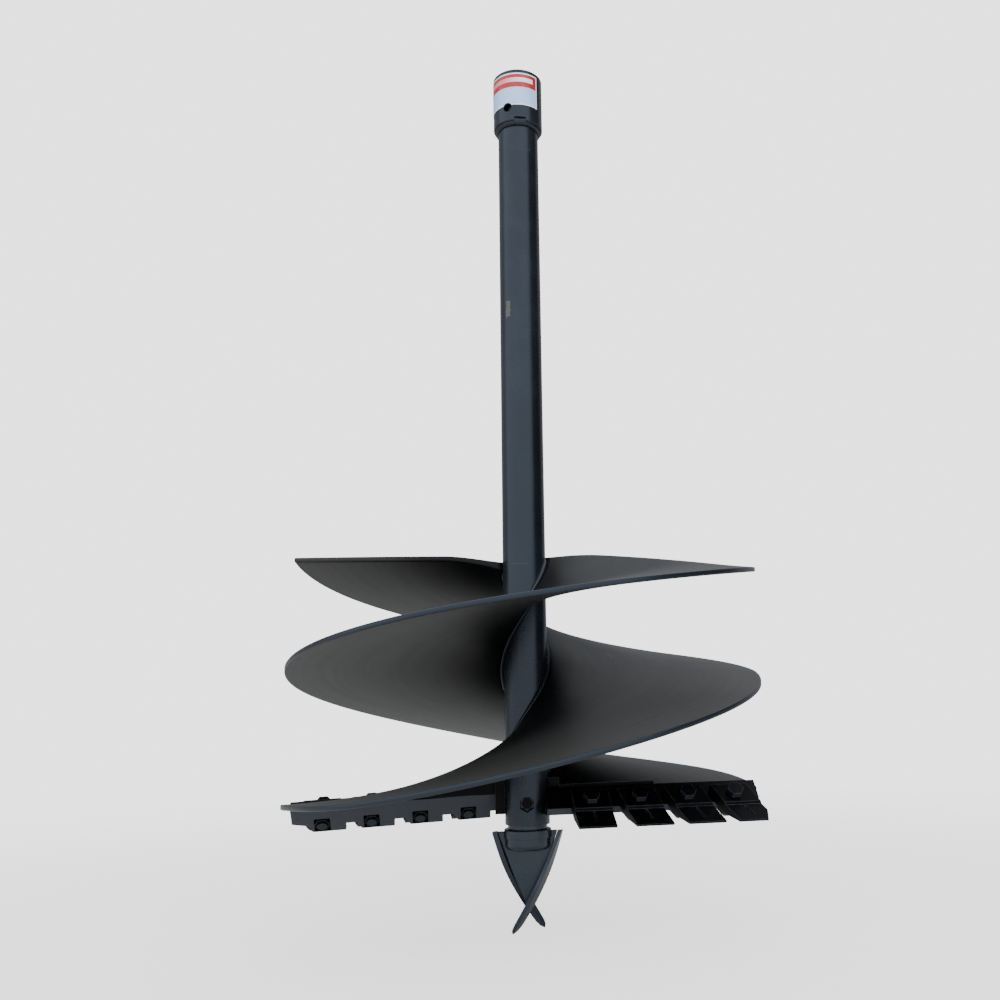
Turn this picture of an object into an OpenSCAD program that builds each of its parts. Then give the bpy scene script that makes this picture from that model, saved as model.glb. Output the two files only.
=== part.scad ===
// Double-flight planting auger: a hollow stem with a round drive hub on top, two helical
// flights welded half a turn apart, two bolted tooth bars and a twisted fishtail pilot.
// Millimetres. +Z is up, the origin is on the hub's bore axis at the hub's top face, and
// the auger cuts clockwise seen from above. Side 0 is flight A, side 1 is flight B.

/* [Hub] */
// Outer diameter of the drive hub
hub_d = 92; // [88:1:100]
// Length of the drive hub
hub_len = 105; // [105:1:130]
// Diameter of the hub's bore for the drive shaft
bore_d = 65; // [58:0.5:66]
// Depth of the hub's blind bore
bore_depth = 88; // [87:0.5:88]
// Diameter of the retaining pin's cross hole
pin_d = 16; // [10:1:18]
// Depth of the cross hole below the hub's top face
pin_depth = 78; // [50:1:78]
// Angle of the cross hole, seen from above
pin_angle = -114; // [-150:1:-90]

/* [Stem] */
// Outer diameter of the stem tube
stem_d = 75; // [72:0.5:76]
// Wall thickness of the stem tube
stem_wall = 8.2; // [6:0.1:9]

/* [Flights] */
// Outer radius of both flights
flight_r = 400; // [396:1:404]
// Thickness of the flight plate
plate_t = 8; // [6:0.5:9]
// Depth of flight A's top end at the rim
rim_top_a = 919; // [914:1:924]
// Depth of flight B's top end at the rim
rim_top_b = 952; // [946:1:956]
// Height that flight A's rim climbs in its one turn
rim_climb_a = 420; // [416:1:424]
// Height that flight B's rim climbs in its one turn
rim_climb_b = 384; // [380:1:388]
// Depth of the level lead-in after flight A's lower end
lead_in_a = 30; // [24:1:36]
// Depth of the level lead-in after flight B's lower end
lead_in_b = 26; // [20:1:32]
// Sag of flight A's upper half, negative is lower
bow_a = -17; // [-20:1:0]
// Rise of flight B's upper half
bow_b = 26; // [10:1:28]
// Depth of the corner cut beside the stem at each top end
corner_cut = 13; // [8:1:16]

/* [Cutting head] */
// Sweep of each tooth bar, inner end leading
bar_sweep = 6.7; // [5:0.1:8]
// Droop of tooth bar A's outer end
bar_droop_a = 2.2; // [0:0.1:2.4]
// Thickness of each tooth bar
bar_t = 16; // [14:1:18]
// Distance between tooth bolts along a bar
tooth_pitch = 81; // [80:1:82]
// Width of each tooth
tooth_w = 62; // [58:1:63]
// Length of each tooth's blade below the bar's notches
blade_len = 58; // [52:1:60]

/* [Pilot] */
// Width of the pilot across its top corners
pilot_w = 120; // [116:1:124]
// Height of the pilot's blades
pilot_len = 158; // [150:1:162]
// Thickness of the pilot's centre web
web_t = 12; // [10:1:14]

/* [Hidden] */
$fn = 72;

POWDER = "#3b4048";
FACE_GREY = "#3d3d3b";
DARK = "#1c1d20";

// Radii of the round parts
hub_r = hub_d / 2;
bore_r = bore_d / 2;
stem_r = stem_d / 2;
stem_bore_r = stem_r - stem_wall;
// Depth of the stem's lower end
stem_bottom = 1373;

// The stem's top end sits in a socket in the hub's lower end
socket_depth = 12;
stem_top = hub_len - socket_depth;
hub_chamfer = 1.5;
hub_weld_leg = 6;
hub_weld_rise = 7;

// Weld slot in the hub's lower edge
slot_w = 22;
slot_h = 7;
slot_depth = 4;
slot_angle = -84;

// Label on the hub
label_t = 0.5;
label_top = 8;
label_h = 66;
label_start = -190;
label_sweep = 152;
label_margin = 1.5;

// ---- Flight surface ----
// A flight runs from turn 0, its lower end at +X in its own frame, to turn 1, its top end.
// w is 0 at the rim and 1 at the root.
rim_top = [-rim_top_a, -rim_top_b];
rim_climb = [rim_climb_a, rim_climb_b];
lead_in = [lead_in_a, lead_in_b];
lead_in_at = [0.19, 0.24];
bow = [bow_a, bow_b];
bow_from = [0.5, 0.22];
root_top = [-924, -919];
root_climb = [367, 390];
crown = [1, 4];
corner_from = 0.72;
corner_power = 1.8;
turn_steps = 56;
width_steps = 9;
side_angle = [180, 0];

function smooth(x) = let (c = max(0, min(1, x))) c * c * (3 - 2 * c);
function lead_in_shape(u, at) = let (x = max(u, 0) / at) pow(x * exp(1 - x), 3);
function bow_shape(u, from) = u < from ? 0 : sin(180 * (u - from) / (1 - from));
function rim_z(side, u) =
    rim_top[side] - rim_climb[side] * (1 - u)
    - lead_in[side] * lead_in_shape(u, lead_in_at[side]) + bow[side] * bow_shape(u, bow_from[side]);
function root_z(side, u) = root_top[side] - root_climb[side] * (1 - u);
function root_blend(u, w) = pow(max(w, 0), 1 + 1.2 * pow(1 - max(0, min(1, u)), 4));
function plate_w(r) = (flight_r - r) / (flight_r - stem_r);
function plate_z(side, u, r) =
    let (w = max(0, min(1, plate_w(r))), rim = rim_z(side, u))
    rim + (root_z(side, u) - rim) * root_blend(u, w) + crown[side] * sin(180 * w) * pow(max(u, 0), 8);
// Half the plate's upright thickness, which grows towards the root where the plate is steep
function half_t(r) = let (lead = root_climb[0] / 360 * 180 / PI) plate_t / 2 * norm([lead, r]) / r;

// The flight's lower end is cut along the tooth bar, and its top end is relieved at the stem
end_gap = 5;
function end_line_y(x) = bar_back_y + end_gap + x * tan(bar_sweep);
function first_u(r) = asin(end_line_y(r) / r) / 360;
function corner_shape(w) = pow(max(0, w - corner_from) / (1 - corner_from), corner_power);
function last_u(side, r) = 1 - corner_cut / root_climb[side] * corner_shape(plate_w(r));
function plate_u(side, i, r) = let (a = first_u(r), b = last_u(side, r)) a + (b - a) * i / turn_steps;
function plate_r(j) = flight_r - (flight_r - stem_r - 0.05) * j / width_steps;
function on_plate(side, u, r, up) =
    [r * cos(360 * u), r * sin(360 * u), plate_z(side, u, r) + up * half_t(r)];

// Faces of a closed block whose sections are rings of n points, m + 1 sections long
function ring_sides(m, n) =
    [for (i = [0 : m - 1], k = [0 : n - 1])
        let (a = i * n + k, b = i * n + (k + 1) % n, c = a + n, d = b + n) each [[a, b, d], [a, d, c]]];
function ring_caps(m, n) =
    [[for (k = [n - 1 : -1 : 0]) k], [for (k = [0 : n - 1]) m * n + k]];

module flight(side) {
    n = 2 * (width_steps + 1);
    pts = [for (i = [0 : turn_steps]) each concat(
        [for (j = [0 : width_steps]) on_plate(side, plate_u(side, i, plate_r(j)), plate_r(j), 1)],
        [for (j = [width_steps : -1 : 0]) on_plate(side, plate_u(side, i, plate_r(j)), plate_r(j), -1)])];
    // The end caps are strips of triangles, because a cut end isn't flat
    caps = [for (j = [0 : width_steps - 1]) let (a = j, b = j + 1, c = n - 2 - j, d = n - 1 - j)
        each [[a, c, b], [a, d, c]]];
    last = turn_steps * n;
    far_caps = [for (f = caps) [f[0] + last, f[2] + last, f[1] + last]];
    rotate([0, 0, side_angle[side]])
        polyhedron(pts, concat([for (f = ring_sides(turn_steps, n)) [f[0], f[2], f[1]]],
                               [for (f = caps) [f[0], f[2], f[1]]], [for (f = far_caps) [f[0], f[2], f[1]]]));
}

// Fillet weld beads above and below the flight's root
bead_leg = 7;
bead_rise = 9;
bead_steps = 48;
bead_from = 0.03;
bead_to = 0.955;
module root_beads(side) {
    for (up = [1, -1]) {
        pts = [for (i = [0 : bead_steps]) let (
            u = bead_from + (bead_to - bead_from) * i / bead_steps,
            heel = on_plate(side, u, stem_r + 0.05, up),
            toe = on_plate(side, u, stem_r + bead_leg, up),
            mid = on_plate(side, u, stem_r + 0.45 * bead_leg, up))
            each [heel, toe, mid + [0, 0, up * 0.55 * bead_rise], heel + [0, 0, up * bead_rise]]];
        faces = concat(ring_sides(bead_steps, 4), ring_caps(bead_steps, 4));
        rotate([0, 0, side_angle[side]])
            polyhedron(pts, up > 0 ? [for (f = faces) [for (k = [len(f) - 1 : -1 : 0]) f[k]]] : faces);
    }
}

// ---- Cutting head ----
// Bar frame: x runs out along the bar, y up the slope, z out of the cutting face.
// y = 0 is the line of the notches, on the cutting face.
bar_slope = 45;
bar_droop = [bar_droop_a, 0];
droop_from = 100;
bar_lead_y = -57;
bar_z = -1345;
bar_top = 44;
bar_inner = 34;
bar_outer = 396;
bar_end_low = 6;
bar_back_y = bar_lead_y + (bar_top + bar_t) * cos(bar_slope);
lobe_h = 17;
lobe_step = 38;
lobe_flat = 15;
lobe_ramp = 12;
ramp_steps = 6;
first_bolt = 104;
bolt_y = 0;
bolt_x = [for (i = [0 : 3]) first_bolt + i * tooth_pitch];
block_t = 24;
block_low = -20;
block_high = 17;
block_step = 3;
crease_t = 20;
edge_t = 25;
edge_land = 5;
// Lean of each tooth's blade, from the innermost, outwards below the bolt
tooth_lean = [[-4, -4, -4, -4], [4, 16, 21, 24]];
outer_tooth = 3;
groove_w = 3;
groove_low = -47;
groove_len = 22;
groove_floor = 19;
bolt_r = 8;
hole_r = 8.5;
head_af = 24;
head_h = 10;
washer_r = 12.5;
washer_t = 2;
nut_h = 9;
bolt_end = 3;
pocket_w = 26;
pocket_h = 30;
pocket_depth = 10;

module on_side(side) rotate([0, 0, side_angle[side]]) children();
module in_bar(side)
    on_side(side) translate([0, bar_lead_y, bar_z]) rotate([0, 0, bar_sweep])
        translate([droop_from, 0, 0]) rotate([0, bar_droop[side], 0]) translate([-droop_from, 0, 0])
            rotate([bar_slope, 0, 0]) children();
// Spaces that the cutting head's parts are trimmed with
bar_inset = 3;
trim_h = 200;
trim_reach = 60;
module stem_space() translate([0, 0, bar_z - trim_h / 2]) cylinder(r = stem_r, h = trim_h);
module space_outside(r) translate([0, 0, bar_z - trim_h / 2]) difference() {
    cylinder(r = flight_r + trim_reach, h = trim_h);
    translate([0, 0, -1]) cylinder(r = r, h = trim_h + 2);
}
// A hexagon with the given width across flats
module hex(af, h) cylinder(r = af / sqrt(3), h = h, $fn = 6);

// A lobe under each bolt has a square step at one end and a ramp at the other. The bars are cut
// alike, but bar B is turned over, so its ramps are at the inner ends.
lobe = concat([[-lobe_step, 0], [-lobe_step, -lobe_h]], [for (k = [0 : ramp_steps])
    [lobe_flat + lobe_ramp * k / ramp_steps, -lobe_h * (1 + cos(180 * k / ramp_steps)) / 2]]);
lobe_points = len(lobe);
lobe_turned = [for (k = [1 : lobe_points]) [-lobe[lobe_points - k][0], lobe[lobe_points - k][1]]];
function bar_outline(side) = concat(
    [[bar_inner, bar_top], [bar_inner, 0]],
    [for (b = bolt_x, p = side == 0 ? lobe : lobe_turned) [b + p[0], p[1]]],
    [[bar_outer, bar_end_low], [bar_outer, bar_top]]);

module tooth_bar(side) {
    color(FACE_GREY) difference() {
        in_bar(side) difference() {
            translate([0, 0, -bar_t]) linear_extrude(bar_t) polygon(bar_outline(side));
            for (b = bolt_x) {
                translate([b, bolt_y, -bar_t - 1]) cylinder(r = hole_r, h = bar_t + 2);
                translate([b - pocket_w / 2, bolt_y - pocket_h / 2, -bar_t - 1])
                    cube([pocket_w, pocket_h, pocket_depth + 1]);
            }
        }
        stem_space();
        space_outside(flight_r - bar_inset);
    }
}

// A tooth's side view, as [y, z] in the bar frame: a thick block above a wedge that is ground from behind
tooth_side = [[block_high, 0], [block_high, block_t], [block_low, block_t],
              [block_low - block_step, crease_t], [-blade_len, edge_t],
              [-blade_len, edge_t - edge_land], [block_low - block_step, 0]];
// The side view stretched to the tooth's width, leaning outwards below the bolt
module tooth_blank(lean) {
    n = len(tooth_side);
    pts = [for (x = [-tooth_w / 2, tooth_w / 2], p = tooth_side)
        [x + tan(lean) * (bolt_y - p[0]), p[0], p[1]]];
    polyhedron(pts, concat(ring_sides(1, n), ring_caps(1, n)));
}

module tooth(side, i) {
    lean = tooth_lean[side][i];
    color(DARK) difference() {
        in_bar(side) translate([bolt_x[i], 0, 0]) difference() {
            tooth_blank(lean);
            translate([0, bolt_y, -1]) cylinder(r = hole_r, h = block_t + 2);
            // Groove down the middle of the blade
            translate([tan(lean) * (bolt_y - groove_low), groove_low, groove_floor])
                rotate([0, 0, lean]) translate([-groove_w / 2, 0, 0]) cube([groove_w, groove_len, block_t]);
        }
        if (i == outer_tooth) space_outside(flight_r);
    }
}

module tooth_bolts(side) {
    shank = block_t + bar_t - pocket_depth + washer_t + nut_h + bolt_end;
    color(DARK) in_bar(side) for (b = bolt_x) translate([b, bolt_y, 0]) {
        translate([0, 0, block_t]) hex(head_af, head_h);
        translate([0, 0, block_t - shank]) cylinder(r = bolt_r, h = shank);
    }
}

module washer_ring(outer, inner, t) difference() {
    cylinder(r = outer, h = t);
    translate([0, 0, -1]) cylinder(r = inner, h = t + 2);
}

// The nuts sit in the pockets in the bar's back
module tooth_washers(side)
    color(DARK) in_bar(side) for (b = bolt_x)
        translate([b, bolt_y, pocket_depth - bar_t - washer_t]) washer_ring(washer_r, hole_r, washer_t);

module tooth_nuts(side)
    color(DARK) in_bar(side) for (b = bolt_x)
        translate([b, bolt_y, pocket_depth - bar_t - washer_t - nut_h]) difference() {
            hex(head_af, nut_h);
            translate([0, 0, -1]) cylinder(r = bolt_r, h = nut_h + 2);
        }

// Upright plate that closes the gap between the bar's top edge and the flight's raised root
gusset_t = 8;
gusset_from = 53;
gusset_to = 216;
gusset_steps = 10;
gusset_gap = 1.5;
gusset_seat = 0.2;
module end_gusset(side) {
    base = bar_z + (bar_top - bar_t) * sin(bar_slope);
    over = [for (k = [0 : gusset_steps])
        let (r = gusset_from + (gusset_to - gusset_from) * k / gusset_steps)
        [r, max(base + bar_t, plate_z(side, first_u(r), r) + half_t(r) / 2)]];
    color(POWDER) difference() {
        on_side(side) translate([0, bar_back_y + end_gap - gusset_gap, 0]) rotate([0, 0, bar_sweep])
            rotate([90, 0, 0]) linear_extrude(gusset_t)
                polygon(concat([[gusset_to, base], [gusset_from, base]], over));
        // The plate stands on the bar's top edge
        in_bar(side) translate([0, bar_top - trim_h, -trim_h / 2])
            cube([flight_r, trim_h + gusset_seat, trim_h]);
    }
}

// Rib that ties the bar's back to the stem
rib_from = 30;
rib_to = 54;
rib_gap = 7.5;
rib_back = 6;
rib_clear = 1.5;
rib_top = -1298;
rib_foot = 4;
module bar_rib(side) {
    low_z = bar_z - bar_t * sin(bar_slope);
    color(POWDER) difference() {
        on_side(side) translate([rib_from, 0, 0]) rotate([90, 0, 90]) linear_extrude(rib_to - rib_from)
            polygon([[bar_back_y - bar_top * cos(bar_slope) + rib_gap, low_z],
                     [bar_back_y + rib_back, bar_z + (bar_top - bar_t) * sin(bar_slope) - rib_clear],
                     [bar_back_y + rib_back, rib_top], [rib_foot, rib_top], [rib_foot, low_z]]);
        stem_space();
    }
}

// ---- Pilot ----
pilot_bolt_z = -1338;
shank_up = 90;
shank_r = stem_bore_r - 0.3;
neck_h = 7;
neck_r = 33;
collar_r = 39.5;
collar_h = 14.6;
collar_edge = 1.5;
boss_r = 37.5;
boss_h = 19;
boss_round = 9;
cross_r = 6.5;
cross_bolt_r = 6;
cross_af = 17;
cross_head_h = 7;
cross_washer_r = 10.5;
cross_washer_t = 2.5;
cross_end = 2;
cross_seat = 20;
cross_reach = 60;
window_af = 23;
window_lip = 1;
pilot_top = -stem_bottom - neck_h - 4.5;

collar_bottom = -stem_bottom - neck_h - collar_h;
boss_bottom = collar_bottom - boss_h;
round_steps = 8;
boss_profile = concat(
    [[0, -stem_bottom - neck_h], [collar_r - collar_edge, -stem_bottom - neck_h],
     [collar_r, -stem_bottom - neck_h - collar_edge], [collar_r, collar_bottom], [boss_r, collar_bottom]],
    [for (k = [0 : round_steps]) let (a = 90 * k / round_steps)
        [boss_r - boss_round * (1 - cos(a)), boss_bottom + boss_round * (1 - sin(a))]],
    [[0, boss_bottom]]);

module along_y(y) translate([0, y, pilot_bolt_z]) rotate([-90, 0, 0]) children();

module pilot_shank() {
    color(POWDER) difference() {
        union() {
            translate([0, 0, -stem_bottom]) cylinder(r = shank_r, h = shank_up);
            translate([0, 0, -stem_bottom - neck_h - 1]) cylinder(r = neck_r, h = neck_h + 1);
            rotate_extrude() polygon(boss_profile);
        }
        along_y(-cross_reach) cylinder(r = cross_r, h = 2 * cross_reach);
        for (y = [-cross_reach, cross_seat]) along_y(y) rotate([0, 0, 30])
            hex(window_af - window_lip, cross_reach - cross_seat);
    }
}

// Each wing is a strip that runs inwards as it falls, crosses the other below the web and twists
// forwards on the way. s is 0 at the pilot's top corners and 1 at its tips.
blade_steps = 16;
wing_top = 10;
wing_in_run = 83;
wing_out_run = 78;
wing_in_belly = 5;
wing_out_belly = 10;
wing_front_y = [-10, -27];
wing_back_y = [6, -16];
wing_foot_t = 7;
wing_edge_t = 9;
tip_from = 0.9;
tip_blunt = 0.2;
function wing_in(s) = pilot_w / 2 - wing_top - wing_in_run * s + wing_in_belly * sin(180 * s);
function wing_out(s) = pilot_w / 2 - wing_out_run * s + wing_out_belly * sin(180 * s);
function wing_front(s) = wing_front_y[0] + (wing_front_y[1] - wing_front_y[0]) * smooth(s / 0.6);
function wing_back(s) = wing_back_y[0] + (wing_back_y[1] - wing_back_y[0]) * smooth((s - 0.2) / 0.8);
function wing_taper(s) =
    s < tip_from ? 1 : sqrt(max(pow(tip_blunt, 2), 1 - pow((s - tip_from) / (1.002 - tip_from), 2)));
function wing_section(s) = let (
    z = pilot_top - pilot_len * s, k = wing_taper(s), m = (wing_in(s) + wing_out(s)) / 2,
    n = (wing_front(s) + wing_back(s)) / 2)
    [for (p = [[wing_in(s), wing_front(s)], [wing_in(s) + wing_foot_t, wing_front(s)],
               [wing_out(s), wing_back(s)], [wing_out(s) - wing_edge_t, wing_back(s)]])
        [m + (p[0] - m) * k, n + (p[1] - n) * k, z]];

module pilot_wing(side) {
    pts = [for (i = [0 : blade_steps]) each wing_section(1 - pow(1 - i / blade_steps, 1.3))];
    color(POWDER) on_side(side)
        polyhedron(pts, concat(ring_sides(blade_steps, 4), ring_caps(blade_steps, 4)));
}

// The web fills the space between the wings' inner faces down to the place where they meet
web_end = 0.72;
web_steps = 8;
web_gap = 0.5;
function web_half(s) = wing_in(s) + (wing_out(s) - wing_edge_t - wing_in(s))
    * (-web_t / 2 - wing_front(s)) / (wing_back(s) - wing_front(s)) - web_gap;
module pilot_web() {
    right = [for (i = [0 : web_steps]) let (s = web_end * i / web_steps)
        [web_half(s), pilot_top - pilot_len * s]];
    left = [for (i = [web_steps : -1 : 0]) [-right[i][0], right[i][1]]];
    color(POWDER) difference() {
        translate([0, web_t / 2, 0]) rotate([90, 0, 0]) linear_extrude(web_t) polygon(concat(right, left));
        rotate_extrude() polygon(boss_profile);
    }
}

module pilot_bolt() {
    reach = cross_seat + cross_washer_t + cross_head_h + cross_end;
    color(DARK) {
        along_y(-cross_seat - cross_head_h) hex(cross_af, cross_head_h);
        along_y(-cross_seat - 1) cylinder(r = cross_bolt_r, h = 1 + cross_seat + reach);
    }
}
module pilot_washer() color(DARK) along_y(cross_seat) washer_ring(cross_washer_r, cross_r, cross_washer_t);
module pilot_nut()
    color(DARK) along_y(cross_seat + cross_washer_t) difference() {
        rotate([0, 0, 30]) hex(cross_af, cross_head_h);
        translate([0, 0, -1]) cylinder(r = cross_bolt_r, h = cross_head_h + 2);
    }

// ---- Hub and stem ----
module pin_bore(r) translate([0, 0, -pin_depth]) rotate([0, 0, pin_angle]) rotate([0, 90, 0])
    cylinder(r = r, h = hub_d + 2, center = true);

module drive_hub() {
    color(POWDER) difference() {
        rotate_extrude($fn = 96) polygon([[0, 0], [hub_r - hub_chamfer, 0], [hub_r, -hub_chamfer],
            [hub_r, hub_chamfer - hub_len], [hub_r - hub_chamfer, -hub_len], [0, -hub_len]]);
        translate([0, 0, -bore_depth]) cylinder(r = bore_r, h = bore_depth + 1);
        translate([0, 0, -hub_len - 1]) cylinder(r = stem_r, h = socket_depth + 1);
        pin_bore(pin_d / 2);
        rotate([0, 0, slot_angle]) translate([hub_r - slot_depth, -slot_w / 2, -hub_len - 1])
            cube([slot_depth + 1, slot_w, slot_h + 1]);
    }
}

module hub_label() {
    color("#cddcf2") difference() {
        rotate([0, 0, label_start]) rotate_extrude(angle = label_sweep, $fn = 96)
            translate([hub_r, -label_top - label_h]) square([label_t, label_h]);
        pin_bore(pin_d / 2 + label_margin);
    }
}

module hub_weld() {
    color(POWDER) rotate_extrude($fn = 96) polygon([[stem_r, -hub_len], [stem_r + hub_weld_leg, -hub_len],
        [stem_r + 0.6 * hub_weld_leg, -hub_len - 0.6 * hub_weld_rise], [stem_r, -hub_len - hub_weld_rise]]);
}

module stem_tube() {
    color(POWDER) difference() {
        translate([0, 0, -stem_bottom]) cylinder(r = stem_r, h = stem_bottom - stem_top);
        translate([0, 0, -stem_bottom - 1]) cylinder(r = stem_bore_r, h = stem_bottom - stem_top + 2);
        along_y(-cross_reach) rotate([0, 0, 30]) hex(window_af, 2 * cross_reach);
    }
}

module flight_a() color(FACE_GREY) flight(0);
module flight_b() color(FACE_GREY) flight(1);
module flight_weld_a() color(POWDER) root_beads(0);
module flight_weld_b() color(POWDER) root_beads(1);

drive_hub();
hub_label();
hub_weld();
stem_tube();
flight_a();
flight_b();
flight_weld_a();
flight_weld_b();
tooth_bar(0);  // tooth_bar_a
tooth_bar(1);  // tooth_bar_b
tooth(0, 0);  // tooth_a1
tooth(0, 1);  // tooth_a2
tooth(0, 2);  // tooth_a3
tooth(0, 3);  // tooth_a4
tooth(1, 0);  // tooth_b1
tooth(1, 1);  // tooth_b2
tooth(1, 2);  // tooth_b3
tooth(1, 3);  // tooth_b4
tooth_bolts(0);  // tooth_bolts_a
tooth_bolts(1);  // tooth_bolts_b
tooth_washers(0);  // tooth_washers_a
tooth_washers(1);  // tooth_washers_b
tooth_nuts(0);  // tooth_nuts_a
tooth_nuts(1);  // tooth_nuts_b
end_gusset(0);  // end_gusset_a
end_gusset(1);  // end_gusset_b
bar_rib(0);  // bar_rib_a
bar_rib(1);  // bar_rib_b
pilot_shank();
pilot_web();
pilot_wing(0);  // pilot_wing_a
pilot_wing(1);  // pilot_wing_b
pilot_bolt();
pilot_washer();
pilot_nut();
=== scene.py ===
"""Looks of the planting auger bit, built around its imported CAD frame. Metres, +Z up."""

import math

import bmesh
import bpy
import numpy as np
from mathutils import Matrix, Vector


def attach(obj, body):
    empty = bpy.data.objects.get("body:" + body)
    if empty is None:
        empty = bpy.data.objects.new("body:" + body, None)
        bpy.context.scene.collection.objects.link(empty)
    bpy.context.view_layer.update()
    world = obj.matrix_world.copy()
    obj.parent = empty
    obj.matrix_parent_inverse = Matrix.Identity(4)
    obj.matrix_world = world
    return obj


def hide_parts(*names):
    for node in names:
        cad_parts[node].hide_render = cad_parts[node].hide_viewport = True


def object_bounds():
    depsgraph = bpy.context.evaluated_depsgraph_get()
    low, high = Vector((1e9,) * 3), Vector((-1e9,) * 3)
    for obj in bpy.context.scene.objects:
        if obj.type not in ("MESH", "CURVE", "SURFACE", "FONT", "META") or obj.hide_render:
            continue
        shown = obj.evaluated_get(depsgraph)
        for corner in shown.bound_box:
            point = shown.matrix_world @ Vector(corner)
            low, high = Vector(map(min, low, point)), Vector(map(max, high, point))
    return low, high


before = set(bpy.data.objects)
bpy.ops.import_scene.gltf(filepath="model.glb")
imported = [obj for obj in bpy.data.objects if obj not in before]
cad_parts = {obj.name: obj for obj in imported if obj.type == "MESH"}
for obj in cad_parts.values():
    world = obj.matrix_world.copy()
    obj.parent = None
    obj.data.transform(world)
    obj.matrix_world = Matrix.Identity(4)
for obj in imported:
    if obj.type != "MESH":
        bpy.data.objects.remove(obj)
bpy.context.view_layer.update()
BODY = "root"
MM = 0.001

# ---- Camera ----
# It stands in front of the flights, a little below their middle, and looks slightly up.
CAMERA_AT = (0.0267, -1.7813, -1.1591)
CAMERA_PITCH = 0.1872
CAMERA_YAW = -0.0445
CAMERA_ROLL = -0.025
CAMERA_LENS = 36.59
CAMERA_SENSOR = 36
CAMERA_SHIFT_X = -0.0826


def add_camera():
    """The view's camera, made before anything else."""
    data = bpy.data.cameras.new("camera")
    data.lens, data.sensor_width, data.shift_x = CAMERA_LENS, CAMERA_SENSOR, CAMERA_SHIFT_X
    camera = bpy.data.objects.new("camera", data)
    yaw = Matrix.Rotation(CAMERA_YAW, 4, "Z")
    pitch = Matrix.Rotation(math.pi / 2 + CAMERA_PITCH, 4, "X")
    roll = Matrix.Rotation(CAMERA_ROLL, 4, "Z")
    camera.matrix_world = Matrix.Translation(CAMERA_AT) @ yaw @ pitch @ roll
    bpy.context.scene.collection.objects.link(camera)
    bpy.context.scene.camera = camera


add_camera()


# ---- Material nodes ----
def add_node(tree, kind, inputs=None, **settings):
    """A node with its settings, and with values or other nodes' outputs on its inputs."""
    made = tree.nodes.new(kind)
    for key, value in settings.items():
        setattr(made, key, value)
    for key, value in (inputs or {}).items():
        if isinstance(value, bpy.types.NodeSocket):
            tree.links.new(value, made.inputs[key])
        else:
            made.inputs[key].default_value = value
    return made


def place(tree, output="Object"):
    return add_node(tree, "ShaderNodeTexCoord").outputs[output]


def stretched(tree, coords, scale):
    return add_node(tree, "ShaderNodeMapping", {"Vector": coords, "Scale": scale}).outputs["Vector"]


def noise(tree, coords, scale, detail=4.0, roughness=0.55):
    values = {"Vector": coords, "Scale": scale, "Detail": detail, "Roughness": roughness}
    return add_node(tree, "ShaderNodeTexNoise", values).outputs["Fac"]


def maths(tree, operation, a, b=0.0):
    return add_node(tree, "ShaderNodeMath", {0: a, 1: b}, operation=operation).outputs[0]


def times(tree, a, b):
    return maths(tree, "MULTIPLY", a, b)


def remap(tree, value, low, high, to_low, to_high):
    values = {"Value": value, "From Min": low, "From Max": high, "To Min": to_low, "To Max": to_high}
    return add_node(tree, "ShaderNodeMapRange", values, interpolation_type="SMOOTHSTEP").outputs["Result"]


def blend(tree, amount, first, second):
    made = add_node(tree, "ShaderNodeMix", {"Factor": amount}, data_type="RGBA")
    for socket, value in ((made.inputs[6], first), (made.inputs[7], second)):
        if isinstance(value, bpy.types.NodeSocket):
            tree.links.new(value, socket)
        else:
            socket.default_value = (*value, 1)
    return made.outputs[2]


def spots(tree, coords, scale, size, share):
    """1 inside small round spots, 0 elsewhere. share is the part of the cells that have one."""
    cells = add_node(tree, "ShaderNodeTexVoronoi", {"Vector": coords, "Scale": scale})
    near = remap(tree, cells.outputs["Distance"], size, size * 0.6, 0, 1)
    pick = add_node(tree, "ShaderNodeSeparateColor", {"Color": cells.outputs["Color"]}).outputs["Red"]
    return times(tree, near, maths(tree, "LESS_THAN", pick, share))


def bump(tree, height, distance, strength=1.0, under=None):
    inputs = {"Height": height, "Distance": distance, "Strength": strength}
    if under:
        inputs["Normal"] = under
    return add_node(tree, "ShaderNodeBump", inputs).outputs["Normal"]


def split(tree, coords):
    return add_node(tree, "ShaderNodeSeparateXYZ", {"Vector": coords}).outputs


def band(tree, value, low, high, soft=0.0003):
    """1 where value lies between low and high."""
    above = remap(tree, value, low - soft, low + soft, 0, 1)
    below = remap(tree, value, high - soft, high + soft, 1, 0)
    return times(tree, above, below)


def radius_of(tree, coords):
    """Distance from the auger's axis."""
    xyz = split(tree, coords)
    squares = maths(tree, "ADD", times(tree, xyz[0], xyz[0]), times(tree, xyz[1], xyz[1]))
    return maths(tree, "SQRT", squares)


def turn_of(tree, xyz):
    """Degrees round the auger's axis, from the front towards +X."""
    return maths(tree, "DEGREES", maths(tree, "ARCTAN2", xyz[0], times(tree, xyz[1], -1.0)))


def new_look(name, coat=0.0, specular=0.5):
    look = bpy.data.materials.new(name)
    look.use_nodes = True
    shader = look.node_tree.nodes["Principled BSDF"]
    shader.inputs["Coat Weight"].default_value = coat
    shader.inputs["Specular IOR Level"].default_value = specular
    return look, look.node_tree, shader


def finish_look(tree, shader, colour, roughness, normal):
    tree.links.new(colour, shader.inputs["Base Color"])
    tree.links.new(roughness, shader.inputs["Roughness"])
    tree.links.new(normal, shader.inputs["Normal"])


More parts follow.
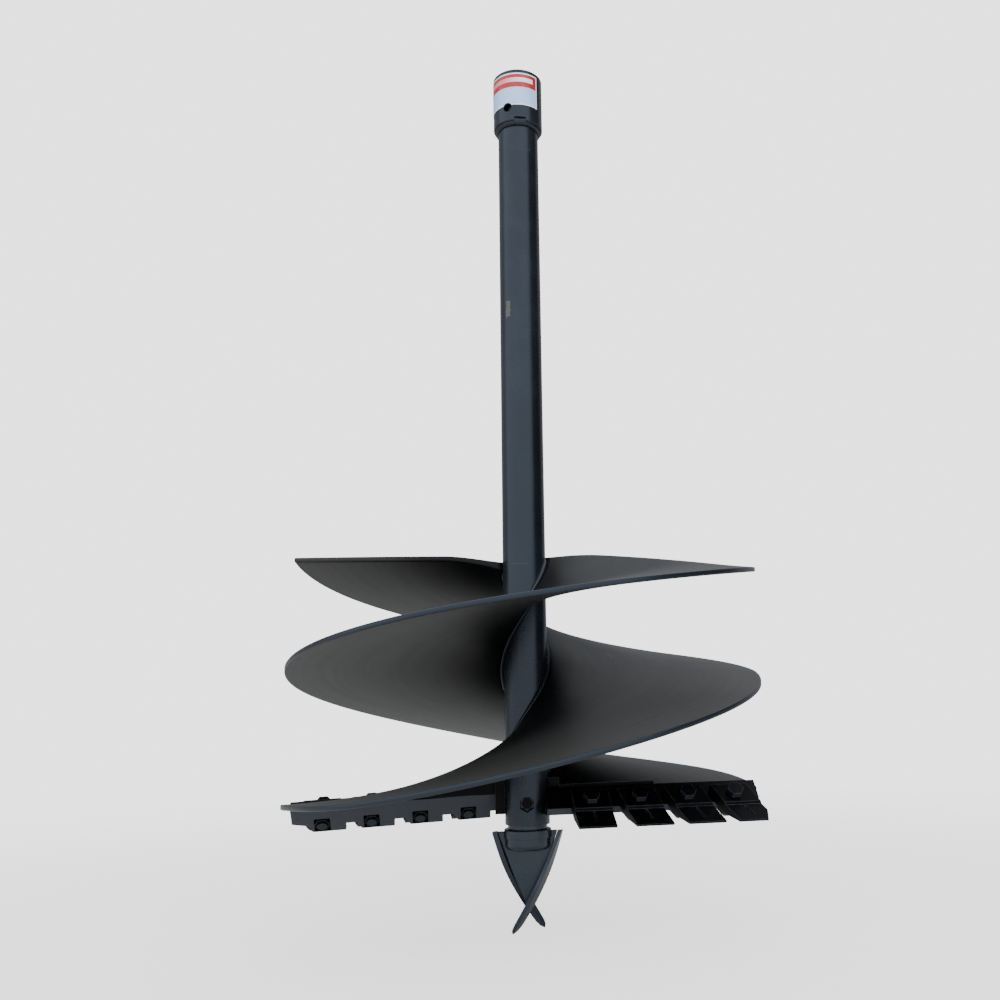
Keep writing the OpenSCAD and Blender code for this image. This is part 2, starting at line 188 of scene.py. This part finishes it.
# ---- Materials ----
POWDER = (0.007, 0.009, 0.012)
POWDER_PALE = (0.011, 0.014, 0.019)
BLUE_SHEEN = (0.72, 0.84, 1.0)
WHITE = (1.0, 1.0, 1.0)
PILOT = (0.014, 0.018, 0.024)
PILOT_PALE = (0.022, 0.028, 0.036)
# Paler colours for faces that look down: painted light on the bars' and bolts' undersides
BAR_UNDERSIDE_PAINTED_LIGHT = (0.066, 0.073, 0.084)
BOLT_UNDERSIDE_PAINTED_LIGHT = (0.034, 0.039, 0.048)
DUST = (0.30, 0.30, 0.29)
RAW_TAN = (0.30, 0.25, 0.19)

# Scale, detail and, where it matters, roughness of each noise
POWDER_CLOUD = (14, 3)
PEEL = (420, 2)
SCUFFS = (160, 3)
SCUFF_STRETCH = (1, 1, 0.15)
CHIPS = (55, 6, 0.65)
CHIPS_FROM = (0.75, 0.765)
CHIPS_STRENGTH = 0.8
# Cells in a metre, size in a cell and share of the cells
DUST_SPOTS = (230, 0.12, 0.02)
DUST_STRENGTH = 0.4
POWDER_ROUGH = (0.24, 0.28)
SCUFF_ROUGH = 0.08

# A bare patch on the stem's front, as heights and degrees from the front towards +X
CHIP_Z = (-0.488, -0.456)
CHIP_TURN = (-43.5, -29.0)
CHIP_STRENGTH = 0.28
CHIP_RAGGED_Z = 0.02
CHIP_RAGGED_TURN = 16
# A thin line round the stem just above the flights
SCRIBE_Z = (-0.9385, -0.9370)
SCRIBE_TURN = (-34.0, 12.0)
SCRIBE_STRENGTH = 0.08


def stem_marks(tree, at):
    """1 inside the bare patch and the thin scribed line on the stem."""
    xyz = split(tree, at)
    ragged = maths(tree, "SUBTRACT", noise(tree, at, 110, 4), 0.5)
    height = maths(tree, "ADD", xyz[2], times(tree, ragged, CHIP_RAGGED_Z))
    turn = maths(tree, "ADD", turn_of(tree, xyz), times(tree, ragged, CHIP_RAGGED_TURN))
    chip = times(tree, band(tree, height, *CHIP_Z), band(tree, turn, *CHIP_TURN, 0.7))
    worn = remap(tree, noise(tree, at, 300, 4), 0.3, 0.6, CHIP_STRENGTH * 0.6, CHIP_STRENGTH)
    line = times(tree, band(tree, xyz[2], *SCRIBE_Z), band(tree, turn, *SCRIBE_TURN, 2.0))
    return maths(tree, "MAXIMUM", times(tree, chip, worn), times(tree, line, SCRIBE_STRENGTH))


def powder_look(name, base, pale, specular, marked=False):
    """Satin black powder coat with orange peel, a little dust and a few small chips."""
    look, tree, shader = new_look(name, specular=specular)
    shader.inputs["Specular Tint"].default_value = (*BLUE_SHEEN, 1)
    at = place(tree)
    cloud = noise(tree, at, *POWDER_CLOUD)
    colour = blend(tree, remap(tree, cloud, 0.35, 0.7, 0, 1), base, pale)
    dust = spots(tree, at, *DUST_SPOTS)
    chips = times(tree, remap(tree, noise(tree, at, *CHIPS), *CHIPS_FROM, 0, 1), CHIPS_STRENGTH)
    if marked:
        chips = maths(tree, "MAXIMUM", chips, stem_marks(tree, at))
    colour = blend(tree, times(tree, dust, DUST_STRENGTH), colour, DUST)
    colour = blend(tree, chips, colour, RAW_TAN)
    scuffs = noise(tree, stretched(tree, at, SCUFF_STRETCH), *SCUFFS)
    scuffed = remap(tree, scuffs, 0.6, 0.85, 0, SCUFF_ROUGH)
    rough = maths(tree, "ADD", remap(tree, cloud, 0.3, 0.7, *POWDER_ROUGH), scuffed)
    peel = bump(tree, noise(tree, at, *PEEL), 0.00008, 0.4)
    normal = bump(tree, maths(tree, "SUBTRACT", dust, chips), 0.0002, 0.5, peel)
    finish_look(tree, shader, colour, rough, normal)
    return look


# Grey tones of the plate, and a near-black used for the painted shade at the root and for random darker
# clouds
FLIGHT_RIM = (0.042, 0.041, 0.039)
FLIGHT_MID = (0.030, 0.0295, 0.029)
FLIGHT_DARK_TONE_AND_SHADE = (0.0015, 0.0015, 0.002)
# Distances from the axis over which the painted shade at the root fades to grey, and grey to the rim's
# tone
ROOT_SHADE_FADE = (0.05, 0.16)
RIM_FADE = (0.14, 0.38)
RIM_EDGE = (0.3985, 0.3992)
# The painted shade reaches further out on faces that look up, and near the flights' top ends
UPPER_SHADE_SPREAD = 0.08
TOP_SHADE_SPREAD = 0.10
TOP_Z = (-1.05, -0.95)
FLIGHT_CLOUD = (9, 4)
STREAK_STRETCH = (3, 60, 1)
STREAKS = (1.0, 5, 0.6)
SCRATCH_STRETCH = (6, 420, 1)
SCRATCHES = (1.0, 2, 0.4)
SCRATCHES_FROM = (0.75, 0.77)
GRAIN = (380, 3)
FLIGHT_ROUGH = (0.49, 0.52)
RIM_SMOOTHER = 0.2
# Specular levels of the plate's faces and of its rim
FLIGHT_SPECULAR = (0.35, 0.6)


def flight_look(name):
    """Thin matt coat with painted shade that blackens it towards the root, faint marks along the turn and
    a glossy rim.
    """
    look, tree, shader = new_look(name)
    at = place(tree)
    along = place(tree, "UV")
    reach = radius_of(tree, at)
    # Painted shade: black at the root, reaching further out on upward faces and near the top ends
    up = split(tree, add_node(tree, "ShaderNodeNewGeometry").outputs["Normal"])[2]
    upper = remap(tree, up, 0.0, 0.4, 0, UPPER_SHADE_SPREAD)
    top = remap(tree, split(tree, at)[2], *TOP_Z, 0, TOP_SHADE_SPREAD)
    inner = maths(tree, "SUBTRACT", reach, maths(tree, "ADD", upper, top))
    colour = blend(tree, remap(tree, inner, *ROOT_SHADE_FADE, 0, 1), FLIGHT_DARK_TONE_AND_SHADE, FLIGHT_MID)
    colour = blend(tree, remap(tree, inner, *RIM_FADE, 0, 1), colour, FLIGHT_RIM)
    streaks = noise(tree, stretched(tree, along, STREAK_STRETCH), *STREAKS)
    cloud = noise(tree, at, *FLIGHT_CLOUD)
    colour = blend(tree, remap(tree, cloud, 0.35, 0.75, 0, 0.12), colour, FLIGHT_DARK_TONE_AND_SHADE)
    scratch_field = noise(tree, stretched(tree, along, SCRATCH_STRETCH), *SCRATCHES)
    patchy = remap(tree, cloud, 0.5, 0.6, 0, 0.5)
    scratches = times(tree, remap(tree, scratch_field, *SCRATCHES_FROM, 0, 1), patchy)
    colour = blend(tree, scratches, colour, RAW_TAN)
    rim = remap(tree, reach, *RIM_EDGE, 0, 1)
    colour = blend(tree, rim, colour, POWDER_PALE)
    plain_rough = remap(tree, streaks, 0.3, 0.75, *FLIGHT_ROUGH)
    rough = maths(tree, "SUBTRACT", plain_rough, times(tree, rim, RIM_SMOOTHER))
    tree.links.new(remap(tree, rim, 0, 1, *FLIGHT_SPECULAR), shader.inputs["Specular IOR Level"])
    tree.links.new(blend(tree, rim, WHITE, BLUE_SHEEN), shader.inputs["Specular Tint"])
    grain = bump(tree, noise(tree, at, *GRAIN), 0.0001, 0.4)
    finish_look(tree, shader, colour, rough, bump(tree, scratches, 0.0002, 0.2, grain))
    return look


# Named face value that soften() writes: 1 on rounded edges, 0 elsewhere
ROUNDING = "rounding"
CAST_CLOUD = (45, 5, 0.6)
PITS = (320, 4, 0.7)
PITS_FROM = (0.68, 0.78)
# Patches over which the painted highlight on rounded edges shows
EDGE_HIGHLIGHT_PATCHES = (90, 4)
# Upward parts of a face's normal, over which it counts as looking down
LOOKS_DOWN = (-0.6, -0.2)


def cast_look(name, dark, pale, specular, rough_low, rough_high, under=None, edge=None):
    """Steel plate or casting under a thin coat: uneven tone and pits. Faces that look down may take a
    paler colour as painted light, and rounded edges a paler painted highlight."""
    look, tree, shader = new_look(name, specular=specular)
    at = place(tree)
    cloud = noise(tree, at, *CAST_CLOUD)
    pits = noise(tree, at, *PITS)
    colour = blend(tree, remap(tree, cloud, 0.35, 0.7, 0, 1), dark, pale)
    # Painted light: faces that look down take the paler colour
    if under:
        up = split(tree, add_node(tree, "ShaderNodeNewGeometry").outputs["Normal"])[2]
        colour = blend(tree, remap(tree, up, *LOOKS_DOWN, 1, 0), colour, under)
    # Painted highlight along the rounded edges, in patches
    if edge:
        rounded = add_node(tree, "ShaderNodeAttribute", attribute_name=ROUNDING).outputs["Fac"]
        patchy = remap(tree, noise(tree, at, *EDGE_HIGHLIGHT_PATCHES), 0.3, 0.6, 0.3, 1)
        colour = blend(tree, times(tree, rounded, patchy), colour, edge)
    colour = blend(tree, remap(tree, pits, *PITS_FROM, 0, 0.35), colour, RAW_TAN)
    rough = remap(tree, cloud, 0.3, 0.7, rough_low, rough_high)
    normal = bump(tree, cloud, 0.0005, 0.4, bump(tree, pits, 0.0002, 0.5))
    finish_look(tree, shader, colour, rough, normal)
    return look


LABEL_RED = (0.46, 0.016, 0.022)
LABEL_PINK = (0.80, 0.24, 0.26)
LABEL_WHITE = (0.78, 0.88, 1.0)
LABEL_BLUE = (0.46, 0.67, 1.0)
LABEL_GRIME = (0.35, 0.36, 0.38)
# Heights, and turns in radians from -X towards the front. The film's two ends lie outside them.
INNER_Z = (-0.0715, -0.0105)
INNER_TURN = (-0.10, 2.42)
RED_Z = (-0.037, -0.0105)
STRIPE_Z = (-0.0265, -0.0175)
STRIPE_TURN = (0.05, 2.25)
STRIPE_FADE = (0.9, 1.9)
TURN_SOFT = 0.004
GRIME = (70, 5, 0.65)
GRIME_STRENGTH = 0.25
FILM = (90, 3)
FILM_ROUGH = (0.25, 0.4)
CREASES = (150, 2)


def label_look(name):
    """Printed film: white border, red band with a plain stripe, pale blue panel below."""
    look, tree, shader = new_look(name, coat=0.3, specular=0.45)
    at = place(tree)
    xyz = split(tree, at)
    height = xyz[2]
    turn = times(tree, maths(tree, "ARCTAN2", xyz[1], times(tree, xyz[0], -1.0)), -1.0)
    inner = times(tree, band(tree, height, *INNER_Z), band(tree, turn, *INNER_TURN, TURN_SOFT))
    red = times(tree, band(tree, height, *RED_Z), inner)
    stripe = times(tree, band(tree, height, *STRIPE_Z), band(tree, turn, *STRIPE_TURN, TURN_SOFT))
    fade = blend(tree, remap(tree, turn, *STRIPE_FADE, 0, 1), LABEL_PINK, LABEL_WHITE)
    colour = blend(tree, inner, LABEL_WHITE, LABEL_BLUE)
    colour = blend(tree, red, colour, LABEL_RED)
    colour = blend(tree, stripe, colour, fade)
    grime = remap(tree, noise(tree, at, *GRIME), 0.5, 0.8, 0, GRIME_STRENGTH)
    colour = blend(tree, grime, colour, LABEL_GRIME)
    rough = remap(tree, noise(tree, at, *FILM), 0.3, 0.7, *FILM_ROUGH)
    finish_look(tree, shader, colour, rough, bump(tree, noise(tree, at, *CREASES), 0.0002, 0.3))
    return look


NEAR_BLACK = (0.0015, 0.0015, 0.002)
SOOT = (0.004, 0.004, 0.005)
# Pale bluish tone of rounded edges: a painted highlight
EDGE_PAINTED_HIGHLIGHT = (0.060, 0.068, 0.085)
# One look for each material slot of the record
LOOKS = {
    "stem_powder": powder_look("stem_powder", POWDER, POWDER_PALE, 0.68, marked=True),
    "pilot_powder": powder_look("pilot_powder", PILOT, PILOT_PALE, 0.8),
    "flight_powder": flight_look("flight_powder"),
    "bar_powder": cast_look("bar_powder", NEAR_BLACK, SOOT, 0.15, 0.42, 0.6, BAR_UNDERSIDE_PAINTED_LIGHT, EDGE_PAINTED_HIGHLIGHT),
    "tooth_steel": cast_look("tooth_steel", NEAR_BLACK, SOOT, 0.08, 0.35, 0.5, edge=EDGE_PAINTED_HIGHLIGHT),
    "black_fastener": cast_look("black_fastener", NEAR_BLACK, SOOT, 0.12, 0.30, 0.42, BOLT_UNDERSIDE_PAINTED_LIGHT, EDGE_PAINTED_HIGHLIGHT),
    "label_print": label_look("label_print"),
}


# ---- Pieces ----
def dress(piece, slot):
    piece.data.materials.clear()
    piece.data.materials.append(LOOKS[slot])


def add_piece(name, mesh, slot, *nodes):
    """An object that rides with the auger and stands for CAD nodes."""
    piece = bpy.data.objects.new(name, mesh)
    bpy.context.scene.collection.objects.link(piece)
    dress(piece, slot)
    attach(piece, BODY)
    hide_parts(*nodes)
    return piece


def apply_modifiers(piece):
    """Keeps the shape that the modifiers make, and removes them."""
    depsgraph = bpy.context.evaluated_depsgraph_get()
    made = bpy.data.meshes.new_from_object(piece.evaluated_get(depsgraph))
    old = piece.data
    piece.modifiers.clear()
    piece.data = made
    bpy.data.meshes.remove(old)


# Edges sharper than SHARP are rounded, and faces closer than FLAT to one plane are joined
SHARP = math.radians(32)
FLAT = math.radians(0.6)
SAME_PLACE = 0.02 * MM
# Looks of pieces whose large faces stay flat while only their rounded edges are smooth
FLAT_SIDED = ("tooth_steel",)


def soften(node, slot, width, segments=3):
    """A copy of a CAD node with its sharp edges rounded over, in millimetres of width."""
    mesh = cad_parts[node].data.copy()
    shape = bmesh.new()
    shape.from_mesh(mesh)
    bmesh.ops.remove_doubles(shape, verts=shape.verts, dist=SAME_PLACE)
    bmesh.ops.dissolve_limit(shape, angle_limit=FLAT, verts=shape.verts, edges=shape.edges)
    bmesh.ops.recalc_face_normals(shape, faces=shape.faces)
    shape.to_mesh(mesh)
    shape.free()
    piece = add_piece(node + "_soft", mesh, slot, node)
    # A second slot, for a moment, tells the rounded faces from the rest
    piece.data.materials.append(LOOKS[slot])
    bevel = piece.modifiers.new("bevel", "BEVEL")
    bevel.material = 1
    bevel.width, bevel.segments = width * MM, segments
    bevel.limit_method, bevel.angle_limit = "ANGLE", SHARP
    bpy.context.view_layer.update()
    apply_modifiers(piece)
    rounding = piece.data.attributes.new(ROUNDING, "FLOAT", "FACE")
    for face in piece.data.polygons:
        rounding.data[face.index].value = face.material_index
        face.use_smooth = slot not in FLAT_SIDED or face.material_index == 1
        face.material_index = 0
    piece.data.materials.pop(index=1)
    piece.modifiers.new("normals", "WEIGHTED_NORMAL").keep_sharp = False
    return piece


def ring_mesh(name, rings, strip_caps=False, uv=None):
    """A closed mesh through rings of points in millimetres, with its two ends capped."""
    count, size = rings.shape[:2]
    faces = []
    for i in range(count - 1):
        for k in range(size):
            a, b = i * size + k, i * size + (k + 1) % size
            faces.append((a, b, b + size, a + size))
    last = (count - 1) * size
    if strip_caps:
        for j in range(size // 2 - 1):
            near = (j, size - 1 - j, size - 2 - j, j + 1)
            faces.append(near)
            faces.append(tuple(last + k for k in reversed(near)))
    else:
        faces.append(tuple(range(size - 1, -1, -1)))
        faces.append(tuple(last + k for k in range(size)))
    mesh = bpy.data.meshes.new(name)
    mesh.from_pydata((rings.reshape(-1, 3) * MM).tolist(), [], faces)
    shape = bmesh.new()
    shape.from_mesh(mesh)
    bmesh.ops.recalc_face_normals(shape, faces=shape.faces)
    shape.to_mesh(mesh)
    shape.free()
    if uv is not None:
        layer = mesh.uv_layers.new(name="along")
        index = np.empty(len(mesh.loops), dtype=np.int32)
        mesh.loops.foreach_get("vertex_index", index)
        layer.data.foreach_set("uv", uv.reshape(-1, 2)[index].ravel())
    mesh.shade_smooth()
    return mesh


# ---- Flights ----
# The part's own dimensions in millimetres, so that the plates follow the CAD flights
FLIGHT_R = 400.0
STEM_R = 37.5
PLATE_T = 8.0
CORNER_CUT = 13.0
CORNER_FROM = 0.72
CORNER_POWER = 1.8
BAR_SWEEP = math.radians(6.7)
BAR_SLOPE = math.radians(45)
BAR_LEAD_Y = -57.0
BAR_T = 16.0
BAR_TOP = 44.0
END_GAP = 5.0
# How sharply the root line turns level at the lower end, the lead-in rises and the top end crowns
ROOT_EASE = 1.2
ROOT_EASE_POWER = 4
LEAD_POWER = 3
CROWN_POWER = 8
# Where each flight starts round the axis, and the heights and climbs of its rim and root. The lead-in
# dips the rim near the bar, the bow lifts or lowers it further up, and the crown lifts the top end.
FLIGHTS = {
    "a": dict(spin=180, rim_top=-919, rim_climb=420, lead_in=30, lead_at=0.19, bow=-17, bow_from=0.5,
              root_top=-924, root_climb=367, crown=1),
    "b": dict(spin=0, rim_top=-952, rim_climb=384, lead_in=26, lead_at=0.24, bow=26, bow_from=0.22,
              root_top=-919, root_climb=390, crown=4),
}


def plate_height(f, u, r):
    """Height of a flight's middle surface at turn u, 0 to 1 from the lower end, and radius r."""
    w = np.clip((FLIGHT_R - r) / (FLIGHT_R - STEM_R), 0, 1)
    x = np.maximum(u, 0) / f["lead_at"]
    arch = np.where(u < f["bow_from"], 0, np.sin(math.pi * (u - f["bow_from"]) / (1 - f["bow_from"])))
    lead = f["lead_in"] * (x * np.exp(1 - x)) ** LEAD_POWER
    rim = f["rim_top"] - f["rim_climb"] * (1 - u) - lead + f["bow"] * arch
    root = f["root_top"] - f["root_climb"] * (1 - u)
    share = w ** (1 + ROOT_EASE * (1 - np.clip(u, 0, 1)) ** ROOT_EASE_POWER)
    crown = f["crown"] * np.sin(math.pi * w) * np.maximum(u, 0) ** CROWN_POWER
    return rim + (root - rim) * share + crown


def half_thickness(r):
    """Half of a flight's upright thickness at radius r."""
    lead = FLIGHTS["a"]["root_climb"] / (2 * math.pi)
    return PLATE_T / 2 * np.hypot(lead, r) / r


def turn_range(f, r):
    """First and last turn of a flight at radius r: cut along the bar, relieved at the stem."""
    back_y = BAR_LEAD_Y + (BAR_TOP + BAR_T) * math.cos(BAR_SLOPE)
    first = np.degrees(np.arcsin((back_y + END_GAP + r * math.tan(BAR_SWEEP)) / r)) / 360
    w = (FLIGHT_R - r) / (FLIGHT_R - STEM_R)
    relief = np.clip((w - CORNER_FROM) / (1 - CORNER_FROM), 0, 1) ** CORNER_POWER
    last = 1 - CORNER_CUT / f["root_climb"] * relief
    return first, last


# The rim's rounding, its steps in degrees, and the first points inside it
RIM_ROUND = 1.6
RIM_STEPS = (0, 30, 60, 90)
RIM_INNER = (1.5, 5)
SPAN_FROM = 12
ROOT_GAP = 0.05
TURN_ROWS = 300
WIDTH_ROWS = 30
END_ROWS = (0.0008, 0.004)
END_EASE = 1.4
UV_TURNS = 2


def rim_profile():
    """(radius, drop from the plate's face) across a flight from its rim's middle to the root."""
    corner = [math.radians(a) for a in RIM_STEPS]
    rim = [(FLIGHT_R - RIM_ROUND * (1 - math.cos(a)), RIM_ROUND * (1 - math.sin(a))) for a in corner]
    inner = [(FLIGHT_R - RIM_ROUND - gap, 0) for gap in RIM_INNER]
    span = np.linspace(FLIGHT_R - SPAN_FROM, STEM_R + ROOT_GAP, WIDTH_ROWS)
    return np.array(rim + inner + [(r, 0) for r in span])


def flight_mesh(name, f):
    """A flight's plate, with a rounded rim and eased ends."""
    profile = rim_profile()
    radius = np.concatenate([profile[:, 0], profile[::-1, 0]])
    drop = np.concatenate([profile[:, 1], profile[::-1, 1]])
    upper = np.concatenate([np.ones(len(profile)), -np.ones(len(profile))])
    first, last = turn_range(f, radius)
    edge, body = END_ROWS
    steps = np.concatenate([[0, edge], np.linspace(body, 1 - body, TURN_ROWS), [1 - edge, 1]])
    rings, uvs = [], []
    for t in steps:
        u = first + (last - first) * t
        ease = END_EASE if t in (0, 1) else 0.0
        z = plate_height(f, u, radius) + upper * (half_thickness(radius) - np.maximum(drop, ease))
        a = np.radians(360 * u + f["spin"])
        rings.append(np.stack([radius * np.cos(a), radius * np.sin(a), z], -1))
        uvs.append(np.stack([u * UV_TURNS, radius * MM], -1))
    return ring_mesh(name, np.array(rings), strip_caps=True, uv=np.array(uvs))


# ---- Root welds ----
# A bead's legs out from the stem and up the plate, and the turns between which it runs
BEAD_LEG = 7.0
BEAD_RISE = 9.0
BEAD_FROM = 0.03
BEAD_TO = 0.955
BEAD_SIZE = 0.80
BEAD_ROUND = 0.9
# How far its hidden side goes into the stem and the plate
BEAD_SINK = 1.5
BEAD_DIP = 2.0
BEAD_BACK = 0.7
BEAD_LAG = 0.0012
TAPER_ROWS = 8
TAPER_START = 0.35
# Spacing of a weld's rows and ripples, and the height of its ripples and slow swells
WELD_STEP = 0.9
RIPPLE = 4.6
RIPPLE_SIZE = 0.10
WANDER = 0.06
WANDER_LONG = 23
WANDER_SHORT = 9.1
WELD_ARC = np.linspace(0, math.pi / 2, 7)


def bead_mesh(name, f, side):
    """A rippled fillet weld along one face of a flight's root."""
    length = math.hypot(2 * math.pi * STEM_R, f["root_climb"]) * (BEAD_TO - BEAD_FROM)
    rows = int(length / WELD_STEP)
    turns = np.linspace(BEAD_FROM, BEAD_TO, rows)
    rings = []
    for row, s in enumerate(np.linspace(0, length, rows)):
        wander = WANDER * math.sin(s / WANDER_LONG) * math.sin(s / WANDER_SHORT)
        swell = 1 + RIPPLE_SIZE * abs(math.sin(math.pi * s / RIPPLE)) + wander
        taper = min(1, TAPER_START + (1 - TAPER_START) * min(row, rows - 1 - row) / TAPER_ROWS)
        bulge = BEAD_SIZE * swell * taper
        ring = [(STEM_R - BEAD_SINK, -BEAD_DIP)]
        for arc in WELD_ARC:
            out, up = math.cos(arc) ** BEAD_ROUND, math.sin(arc) ** BEAD_ROUND
            ring.append((STEM_R + BEAD_LEG * bulge * out, BEAD_RISE * bulge * up))
        ring.append((STEM_R - BEAD_SINK, BEAD_RISE * BEAD_BACK))
        points = []
        for r, up in ring:
            lag = BEAD_LAG * math.cos(math.pi * (r - STEM_R) / BEAD_LEG)
            a = math.radians(360 * (turns[row] + lag) + f["spin"])
            outside = np.array(max(r, STEM_R))
            base = float(plate_height(f, np.array(turns[row]), outside))
            z = base + side * (float(half_thickness(outside)) + up)
            points.append((r * math.cos(a), r * math.sin(a), z))
        rings.append(points)
    return ring_mesh(name, np.array(rings))


for key, flight in FLIGHTS.items():
    plate_name = "flight_plate_" + key
    add_piece(plate_name, flight_mesh(plate_name, flight), "flight_powder", "flight_" + key)
    for word, side in (("upper", 1), ("lower", -1)):
        bead_name = f"root_bead_{key}_{word}"
        add_piece(bead_name, bead_mesh(bead_name, flight, side), "stem_powder", "flight_weld_" + key)


# ---- Hub, stem, bars, teeth and pilot: CAD shapes with rounded edges ----
# Each node's look and the width of its rounded edges in millimetres
ROUNDED = {
    "drive_hub": ("stem_powder", 0.9),
    "stem_tube": ("stem_powder", 0.5),
    "pilot_shank": ("pilot_powder", 0.9),
    "pilot_web": ("pilot_powder", 1.0),
    "pilot_bolt": ("black_fastener", 0.6),
    "pilot_washer": ("black_fastener", 0.4),
    "pilot_nut": ("black_fastener", 0.6),
}
for key in "ab":
    ROUNDED["tooth_bar_" + key] = ("bar_powder", 1.0)
    # The end gussets take the bars' look: their near-black upright faces are painted shade under the
    # flights' ends
    ROUNDED["end_gusset_" + key] = ("bar_powder", 0.8)
    ROUNDED["bar_rib_" + key] = ("bar_powder", 1.0)
    ROUNDED["tooth_bolts_" + key] = ("black_fastener", 0.9)
    ROUNDED["tooth_washers_" + key] = ("tooth_steel", 0.3)
    ROUNDED["tooth_nuts_" + key] = ("tooth_steel", 0.9)
    ROUNDED["pilot_wing_" + key] = ("pilot_powder", 1.2)
    for number in "1234":
        ROUNDED["tooth_" + key + number] = ("tooth_steel", 1.2)
for node_name, (slot_name, round_width) in ROUNDED.items():
    soften(node_name, slot_name, round_width)

# ---- Hub weld ----
HUB_WELD_Z = -105.0
HUB_WELD_LEG = 6.0
HUB_WELD_RISE = 7.0
HUB_WELD_SIZE = 0.95
HUB_WELD_SINK = 1.0
HUB_WELD_LIFT = 0.3
HUB_WELD_TOP = 0.8
HUB_WELD_BACK = 0.8
HUB_WELD_WANDER = 0.04


def hub_weld_mesh(name):
    """A rippled fillet weld right round the stem, under the hub."""
    rows = int(2 * math.pi * STEM_R / WELD_STEP)
    rings = []
    for row in range(rows + 1):
        a = 2 * math.pi * row / rows
        ripple = RIPPLE_SIZE * abs(math.sin(math.pi * STEM_R * a / RIPPLE))
        size = HUB_WELD_SIZE * (1 + ripple + HUB_WELD_WANDER * math.sin(3 * a))
        ring = [(STEM_R - HUB_WELD_SINK, HUB_WELD_TOP)]
        for arc in WELD_ARC:
            r = STEM_R + HUB_WELD_LEG * size * math.cos(arc)
            ring.append((r, HUB_WELD_LIFT - HUB_WELD_RISE * size * math.sin(arc)))
        ring.append((STEM_R - HUB_WELD_SINK, -HUB_WELD_RISE * HUB_WELD_BACK))
        rings.append([(r * math.cos(a), r * math.sin(a), HUB_WELD_Z + z) for r, z in ring])
    return ring_mesh(name, np.array(rings))


add_piece("hub_weld_bead", hub_weld_mesh("hub_weld_bead"), "stem_powder", "hub_weld")

# The label stays the CAD node itself
dress(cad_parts["hub_label"], "label_print")

# ---- Studio ----
FLOOR_GAP = 0.001
FLOOR_R = 3.2
FLOOR_SIDES = 96
FLOOR_ROUGH = 0.9
# The floor's cover under the auger, and the distances over which it fades into the backdrop
FLOOR_COVER = 0.38
FLOOR_FADE = (0.7, 3.0)
PALE = (0.86, 0.86, 0.86)


def add_floor():
    """A pale round floor that fades out before its edge."""
    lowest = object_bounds()[0].z
    mesh = bpy.data.meshes.new("floor")
    shape = bmesh.new()
    bmesh.ops.create_circle(shape, cap_ends=True, radius=FLOOR_R, segments=FLOOR_SIDES)
    shape.to_mesh(mesh)
    shape.free()
    floor = bpy.data.objects.new("floor", mesh)
    floor.location.z = lowest - FLOOR_GAP
    bpy.context.scene.collection.objects.link(floor)
    look, tree, shader = new_look("floor", specular=0.1)
    shader.inputs["Base Color"].default_value = (*PALE, 1)
    shader.inputs["Roughness"].default_value = FLOOR_ROUGH
    reach = radius_of(tree, place(tree))
    tree.links.new(remap(tree, reach, *FLOOR_FADE, FLOOR_COVER, 0), shader.inputs["Alpha"])
    mesh.materials.append(look)


SKY = (1.24, 1.30, 1.38)
BACK_LEVEL = 0.28
GROUND = (0.54, 0.54, 0.53)
SHADE = (0.02, 0.02, 0.025)
SEEN = (2.7, 2.7, 2.7)
# Directions round the object, in degrees from the front towards +X
FRONT_FROM = (-118, -82)
FRONT_TO = (56, 61)
DARK_TO = (112, 130)
# Upward parts of the direction, over which the sky lights all round and the ground begins
HIGH = (0.55, 0.75)
HORIZON = (-0.12, 0.02)


def add_world():
    """A broad soft light in front, a dimmer one behind, a dark gap at the right, a pale backdrop."""
    world = bpy.data.worlds.new("studio")
    bpy.context.scene.world = world
    world.use_nodes = True
    tree = world.node_tree
    xyz = split(tree, add_node(tree, "ShaderNodeTexCoord").outputs["Generated"])
    turn = turn_of(tree, xyz)
    past_left = remap(tree, turn, *FRONT_FROM, 0, 1)
    before_right = remap(tree, turn, *FRONT_TO, 1, 0)
    front = times(tree, past_left, before_right)
    gap = maths(tree, "SUBTRACT", remap(tree, turn, *DARK_TO, 1, 0), before_right)
    back = times(tree, maths(tree, "SUBTRACT", 1.0, gap), BACK_LEVEL)
    high = remap(tree, xyz[2], *HIGH, 0, 1)
    lit = maths(tree, "MAXIMUM", maths(tree, "MAXIMUM", front, back), high)
    sky = blend(tree, lit, SHADE, SKY)
    light = blend(tree, remap(tree, xyz[2], *HORIZON, 1, 0), sky, GROUND)
    seen = add_node(tree, "ShaderNodeLightPath").outputs["Is Camera Ray"]
    tree.links.new(blend(tree, seen, light, SEEN), tree.nodes["Background"].inputs["Color"])


PANELS = {
    "front_box": dict(direction=30, distance=2.6, height=1.6, size=(2.4, 2.0), power=55, aim_height=-0.9),
    "hub_box": dict(direction=-25, distance=1.6, height=0.1, size=(0.6, 0.6), power=12, aim_height=-0.05),
    "back_box": dict(direction=165, distance=2.6, height=1.2, size=(2.4, 2.0), power=35, aim_height=-0.9),
}


def add_panel(name, direction, distance, height, size, power, aim_height):
    """A soft box that isn't mirrored in the steel. Its direction is in degrees, as above."""
    data = bpy.data.lights.new(name, "AREA")
    data.shape, data.size, data.size_y, data.energy = "RECTANGLE", size[0], size[1], power
    panel = bpy.data.objects.new(name, data)
    a = math.radians(direction)
    panel.location = (distance * math.sin(a), -distance * math.cos(a), height)
    aim = Vector((0, 0, aim_height)) - panel.location
    panel.rotation_euler = aim.to_track_quat("-Z", "Y").to_euler()
    panel.visible_camera = panel.visible_glossy = False
    bpy.context.scene.collection.objects.link(panel)


add_floor()
add_world()
for panel_name, panel_values in PANELS.items():
    add_panel(panel_name, **panel_values)
